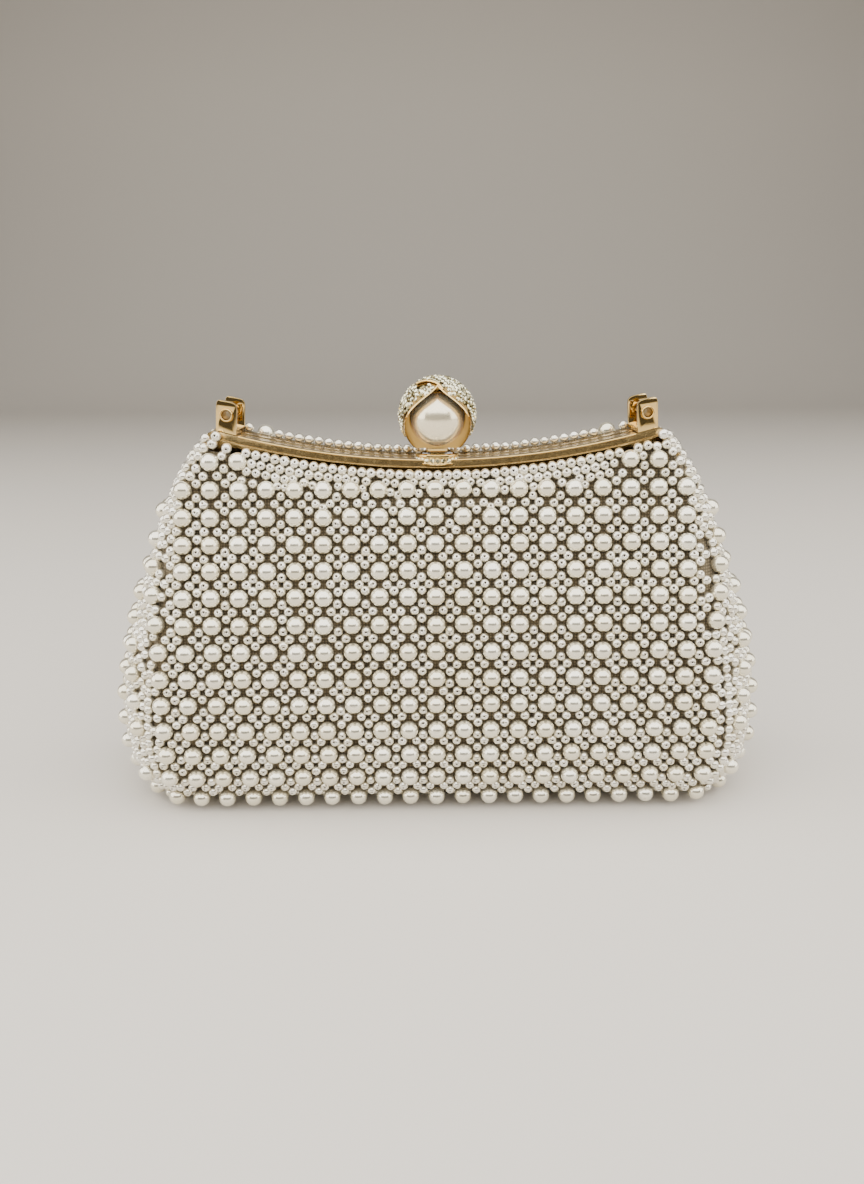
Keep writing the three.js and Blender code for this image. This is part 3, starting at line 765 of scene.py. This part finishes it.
def window_prism(name, scale):
    """The window carried straight back to the ball's middle plane."""
    outline = [(x, z) for x, z in WINDOW_HALF] + [(-x, z) for x, z in reversed(WINDOW_HALF[1:])]
    bm = bmesh.new()
    rings = []
    for y in (-20, -1):
        rings.append([bm.verts.new(Vector((x * scale, y, z * scale)) * MM + BALL * MM) for x, z in outline])
    count = len(outline)
    for k in range(count):
        n = (k + 1) % count
        bm.faces.new((rings[0][k], rings[0][n], rings[1][n], rings[1][k]))
    bm.faces.new(rings[0])
    bm.faces.new(list(reversed(rings[1])))
    bmesh.ops.recalc_face_normals(bm, faces=bm.faces)
    return link_mesh(name, bm)


def cut(obj, other, operation="DIFFERENCE"):
    """One exact boolean, applied; the cutting shape is used up."""
    step = obj.modifiers.new("cut", "BOOLEAN")
    step.object = other
    step.operation = operation
    step.solver = "EXACT"
    shape = obj.evaluated_get(bpy.context.evaluated_depsgraph_get())
    mesh = bpy.data.meshes.new_from_object(shape)
    obj.modifiers.clear()
    obj.data = mesh
    bpy.data.objects.remove(other)
    return obj


def soft_edges(obj, width):
    edge = obj.modifiers.new("edges", "BEVEL")
    edge.width = width * MM
    edge.segments = 2
    edge.limit_method = "ANGLE"
    edge.angle_limit = math.radians(40)
    edge.harden_normals = True
    obj.data.polygons.foreach_set("use_smooth", np.ones(len(obj.data.polygons), bool))
    return obj


SPLIT = math.radians(35)  # the plane between the petals leans this much


def below_foot():
    """Everything under the ball's foot, to be cut away."""
    return block("below", (-20, -20, -20), (20, 20, BALL_FOOT - BALL.z))


def petal_shell(name, side, radius):
    """One petal: its half of the ball's wall, open at the window and at the foot."""
    shell = cut(ball(name, radius), ball("bore", BALL_BORE))
    shell = cut(shell, window_prism("window", 1.05))
    shell = cut(shell, below_foot())
    turn = Matrix.Rotation(-SPLIT if side > 0 else math.pi - SPLIT, 3, "Y")
    keep = block("half", (0.03, -20, -20), (20, 20, 20), turn)
    return soft_edges(cut(shell, keep, "INTERSECT"), 0.2)


STONE_TEMPLATE = turned_template([(0, 0.50), (0.55, 0.48), (1.0, 0.05), (0.9, -0.3), (0, -0.6)], 8)


def lap_line():
    """Where the right petal's edge laps over the top of the ball, seen from the front."""
    line = [(1.6, 8.4), (0.5, 9.7), (-0.6, 10.3), (-1.8, 10.6), (-3.2, 10.7), (-4.7, 10.4), (-6.2, 9.8)]
    return [Vector((x, 0, z)) for x, z in line]


def on_ball(x, z, radius):
    return Vector((x, -math.sqrt(max(radius ** 2 - x * x - z * z, 0)), z)) + BALL


def pave():
    """Faceted stones over both petals, clear of the window, its border and the plain foot."""
    stones = {1: [], -1: []}
    count = 800
    lap = lap_line()
    for i in range(count):
        h = 1 - 2 * (i + 0.5) / count
        a = i * math.pi * (3 - math.sqrt(5))
        ring = math.sqrt(1 - h * h)
        n = Vector((ring * math.cos(a), h, ring * math.sin(a)))
        x, z = n.x * BALL_RADIUS, n.z * BALL_RADIUS
        if n.y < 0.05 and not outside_window(x, z, 1.25):
            continue
        if z < (-3.6 - 0.25 * abs(x) * (n.y < 0) if n.y < 0.4 else -8.5):
            continue
        side = 1 if n.x * math.cos(SPLIT) + n.z * math.sin(SPLIT) > 0 else -1
        if n.y < 0.2 and min((Vector((x, 0, z)) - p).length for p in lap) < 0.85:
            continue
        centre = np.array(BALL + n * (BALL_OUTER + 0.05))
        tilt = Vector([rng.gauss(0, 0.1) for _ in range(3)])
        stones[side].append((centre, np.array(n + tilt), rng.uniform(0.82, 1.12)))
    return stones


def tube(name, points, radius, sides=10):
    """A round wire through points in millimetres."""
    curve = bpy.data.curves.new(name, "CURVE")
    curve.dimensions = "3D"
    curve.bevel_depth = radius * MM
    curve.bevel_resolution = sides // 4
    line = curve.splines.new("POLY")
    line.points.add(len(points) - 1)
    for place, p in zip(line.points, points):
        place.co = (*(p * MM), 1)
    curve.use_fill_caps = True
    made = bpy.data.objects.new(name + "_line", curve)
    bpy.context.scene.collection.objects.link(made)
    mesh = bpy.data.meshes.new_from_object(made.evaluated_get(bpy.context.evaluated_depsgraph_get()))
    bpy.data.objects.remove(made)
    mesh.polygons.foreach_set("use_smooth", np.ones(len(mesh.polygons), bool))
    obj = bpy.data.objects.new(name, mesh)
    bpy.context.scene.collection.objects.link(obj)
    return obj


COLLAR_DEPTH = 0.85  # front to back over side to side
COLLAR_STONES = 22
COLLAR_STONE_RING = 6.35


def collar_ring():
    """The oval collar under the ball: an edge, a channel for stones and a bright top edge."""
    profile = [
        (5.0, 110.5), (5.9, 110.0), (6.55, 110.2), (6.7, 110.7), (6.35, 111.0), (6.3, 112.3),
        (6.75, 112.6), (6.7, 113.2), (6.2, 113.6), (5.3, 113.4), (5.0, 112.6),
    ]
    bm = bmesh.new()
    count = 72
    rings = []
    for k in range(count):
        a = 2 * math.pi * k / count
        ring = [Vector((r * math.sin(a), BALL.y - COLLAR_DEPTH * r * math.cos(a), z)) for r, z in profile]
        rings.append([bm.verts.new(p * MM) for p in ring])
    for k in range(count):
        n = (k + 1) % count
        for i in range(len(profile)):
            m = (i + 1) % len(profile)
            bm.faces.new((rings[k][i], rings[k][m], rings[n][m], rings[n][i]))
    bmesh.ops.recalc_face_normals(bm, faces=bm.faces)
    return link_mesh("clasp_collar_oval", bm)


EDGE_Y = -6.55  # a bright gold wire runs along the top of the frame's front face: a rounded edge, its brighter gold a painted highlight
# painted highlight: the wire's brighter gold stands in for the light caught on the frame's top front edge
edge_line = [Vector((x, EDGE_Y, frame_top(x) - 0.08)) for x in np.linspace(-60.5, 60.5, 90)]
frame_edge_highlight = dress(tube("front_frame_edge_highlight", edge_line, 0.27), BRIGHT_GOLD)
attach(frame_edge_highlight, "front_half")

stones = pave()
for hand, side in (("left", -1), ("right", 1)):
    shell = petal_shell(f"clasp_{hand}_petal_shell", side, BALL_OUTER)
    dress(shell, SETTING_GOLD)
    crystals = bead_piece(f"clasp_{hand}_stones", STONE_TEMPLATE, stones[side], STONE_RADIUS)
    crystals.data.polygons.foreach_set("use_smooth", np.zeros(len(crystals.data.polygons), bool))
    dress(crystals, STONE)
    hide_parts(f"clasp_{hand}_petal")
    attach(shell, "clasp")
    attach(crystals, "clasp")

rim = cut(ball("clasp_rim_band", BALL_RADIUS + 0.1), ball("bore", RIM_BORE))
rim = cut(rim, window_prism("outer", 1.045), "INTERSECT")
rim = cut(rim, window_prism("inner", 1.0))
rim = cut(rim, below_foot())
rim = dress(soft_edges(rim, 0.25), BRIGHT_GOLD)
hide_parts("clasp_rim")
lap = [on_ball(p.x, p.z, BALL_RADIUS) for p in lap_line()]
lap_edge = dress(tube("clasp_lap_edge", lap, 0.38), BRIGHT_GOLD)
cup = cut(ball("clasp_cup_shell", 10.7), ball("bore", 9.8))
cup = cut(cup, block("front", (-20, -20, -20), (20, -2, 20)))
cup = cut(cup, below_foot())
cup = dress(soft_edges(cup, 0.1), BRIGHT_GOLD)
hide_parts("clasp_cup")
bed = cut(window_prism("clasp_pearl_bed", 1.0), block("slab", (-20, -2.9, -20), (20, -1.6, 20)), "INTERSECT")
bed = cut(bed, ball("bore", HEART_RADIUS - 0.1, HEART))
bed = cut(bed, below_foot())
bed = dress(soft_edges(bed, 0.1), BED_GOLD)
heart = ball("clasp_heart_pearl", HEART_RADIUS, HEART)
heart.data.polygons.foreach_set("use_smooth", np.ones(len(heart.data.polygons), bool))
dress(heart, HEART_PEARL)
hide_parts("clasp_pearl")
for piece in (rim, lap_edge, cup, bed, heart):
    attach(piece, "clasp")

collar = dress(soft_edges(collar_ring(), 0.12), BRIGHT_GOLD)
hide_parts("clasp_collar")
ring_stones = []
for k in range(COLLAR_STONES):
    a = 2 * math.pi * k / COLLAR_STONES
    depth = BALL.y - COLLAR_DEPTH * COLLAR_STONE_RING * math.cos(a)
    place = np.array([COLLAR_STONE_RING * math.sin(a), depth, 111.65])
    ring_stones.append((place, np.array([math.sin(a), -math.cos(a), 0.1]), 1.0))
collar_stones = bead_piece("clasp_collar_stones", STONE_TEMPLATE, ring_stones, STONE_RADIUS)
collar_stones.data.polygons.foreach_set("use_smooth", np.zeros(len(collar_stones.data.polygons), bool))
dress(collar_stones, STONE)
for piece in (collar, collar_stones):
    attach(piece, "front_half")

# ---- Lug pins: hollow rivets with a flared rim ------------------------------------------------------

PIN_PROFILE = [
    (1.25, -7.0), (1.3, -7.55), (1.5, -7.78), (1.8, -7.72), (1.98, -7.45), (1.9, -7.15), (1.5, -7.1),
]


def turned_about_y(name, profile, x, z, segments=36):
    """A closed outline of (radius, y) turned about a line along Y."""
    bm = bmesh.new()
    rings = []
    for k in range(segments):
        a = 2 * math.pi * k / segments
        ring = [Vector((x + r * math.cos(a), y, z + r * math.sin(a))) for r, y in profile]
        rings.append([bm.verts.new(p * MM) for p in ring])
    for k in range(segments):
        n = (k + 1) % segments
        for i in range(len(profile)):
            m = (i + 1) % len(profile)
            bm.faces.new((rings[k][i], rings[k][m], rings[n][m], rings[n][i]))
    bmesh.ops.recalc_face_normals(bm, faces=bm.faces)
    return link_mesh(name, bm)


for hand in ("left", "right"):
    pin_low, pin_high = (np.array(corner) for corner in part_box(f"{hand}_lug_pin"))
    pin_x, _, pin_z = (pin_low + pin_high) / 2 / MM
    outline = PIN_PROFILE + [(r, -y) for r, y in reversed(PIN_PROFILE)]
    pin = soft_edges(turned_about_y(f"{hand}_hollow_rivet", outline, pin_x, pin_z), 0.05)
    dress(pin, BRIGHT_GOLD)
    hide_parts(f"{hand}_lug_pin")
    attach(pin, "back_half")

# ---- CAD nodes that stay ------------------------------------------------------------------------------

STAYING = {
    "front_frame": SATIN_GOLD, "back_frame": SATIN_GOLD, "strike_plate": SATIN_GOLD,
    "left_hinge_rivet": SATIN_GOLD, "right_hinge_rivet": SATIN_GOLD,
    "left_lug": BRIGHT_GOLD, "right_lug": BRIGHT_GOLD,
    "pearl_post": STEEL, "clasp_pivot_pin": STEEL, "clasp_lever": BRIGHT_GOLD, "clasp_spring": STEEL,
    "base_board": FELT, "pouch_interlining": FELT, "pouch_lining": LINING, "slip_pocket": LINING,
    "front_frame_cord": FELT, "back_frame_cord": FELT,
}


def finish_metal(obj, width):
    weld = obj.modifiers.new("weld", "WELD")
    weld.merge_threshold = 0.00001
    edge = obj.modifiers.new("edges", "BEVEL")
    edge.width = width * MM
    edge.segments = 2
    edge.limit_method = "ANGLE"
    edge.angle_limit = math.radians(32)
    edge.harden_normals = True
    obj.data.polygons.foreach_set("use_smooth", np.ones(len(obj.data.polygons), bool))


for name, mat in STAYING.items():
    obj = frame["nodes"][name]
    obj.data.materials.clear()
    obj.data.materials.append(mat)
for name in ("front_frame", "back_frame", "left_lug", "right_lug"):
    finish_metal(frame["nodes"][name], 0.4 if "frame" in name else 0.15)

# ---- Floor, lights and camera ----------------------------------------------------------------------------

floor_material = material("pale_floor", (0.62, 0.58, 0.52), 0.7)[0]
sweep = [(-3.0, 0.0), (1.2, 0.0)]
sweep += [(1.2 + 0.6 * math.sin(a), 0.6 - 0.6 * math.cos(a)) for a in np.linspace(0.1, math.pi / 2, 15)]
sweep += [(1.8, 3.0)]
floor_mesh = bpy.data.meshes.new("floor")
floor_mesh.from_pydata([(x, y, z) for y, z in sweep for x in (-3, 3)], [],
                       [(2 * k, 2 * k + 1, 2 * k + 3, 2 * k + 2) for k in range(len(sweep) - 1)])
floor_mesh.polygons.foreach_set("use_smooth", [True] * len(floor_mesh.polygons))
floor = bpy.data.objects.new("floor", floor_mesh)
bpy.context.scene.collection.objects.link(floor)
floor.data.materials.append(floor_material)


def area_light(name, place, target, size, power, colour=(1, 1, 1)):
    lamp = bpy.data.lights.new(name, "AREA")
    lamp.shape = "RECTANGLE"
    lamp.size, lamp.size_y = size
    lamp.energy = power
    lamp.color = colour
    obj = bpy.data.objects.new(name, lamp)
    bpy.context.scene.collection.objects.link(obj)
    obj.location = place
    obj.rotation_mode = "QUATERNION"
    obj.rotation_quaternion = (Vector(target) - Vector(place)).to_track_quat("-Z", "Y")


area_light("top_softbox", (0, -0.55, 0.85), (0, -0.45, 0), (2.2, 1.7), 46, (1.0, 0.985, 0.96))
area_light("left_fill", (-1.2, -0.25, 0.45), (0, 0, 0.06), (1.2, 0.8), 13, (1.0, 0.97, 0.92))
area_light("right_fill", (1.2, -0.2, 0.45), (0, 0, 0.06), (1.2, 0.8), 11, (1.0, 0.97, 0.92))

world = bpy.data.worlds.new("studio")
world.use_nodes = True
world.node_tree.nodes["Background"].inputs["Color"].default_value = (0.30, 0.27, 0.23, 1)
world.node_tree.nodes["Background"].inputs["Strength"].default_value = 0.35
bpy.context.scene.world = world

CAMERA_TURN = math.radians(-0.54)
CAMERA_PITCH = math.radians(17.85)
CAMERA_ROLL = math.radians(-0.34)
CAMERA_DISTANCE = 271.6
CAMERA_HEIGHT = 154.5
CAMERA_SHIFT = -1.9
camera_data = bpy.data.cameras.new("camera")
camera_data.sensor_width = 36
camera_data.lens = 26.3
camera_data.clip_start = 0.01
camera = bpy.data.objects.new("camera", camera_data)
bpy.context.scene.collection.objects.link(camera)
sideways = Vector((math.cos(CAMERA_TURN), math.sin(CAMERA_TURN), 0))
backwards = Vector((math.sin(CAMERA_TURN), -math.cos(CAMERA_TURN), 0))
camera.location = (backwards * CAMERA_DISTANCE + sideways * CAMERA_SHIFT + Vector((0, 0, CAMERA_HEIGHT))) * MM
turn = Matrix.Rotation(CAMERA_TURN, 4, "Z") @ Matrix.Rotation(math.pi / 2 - CAMERA_PITCH, 4, "X")
camera.rotation_euler = (turn @ Matrix.Rotation(CAMERA_ROLL, 4, "Z")).to_euler()
bpy.context.scene.camera = camera
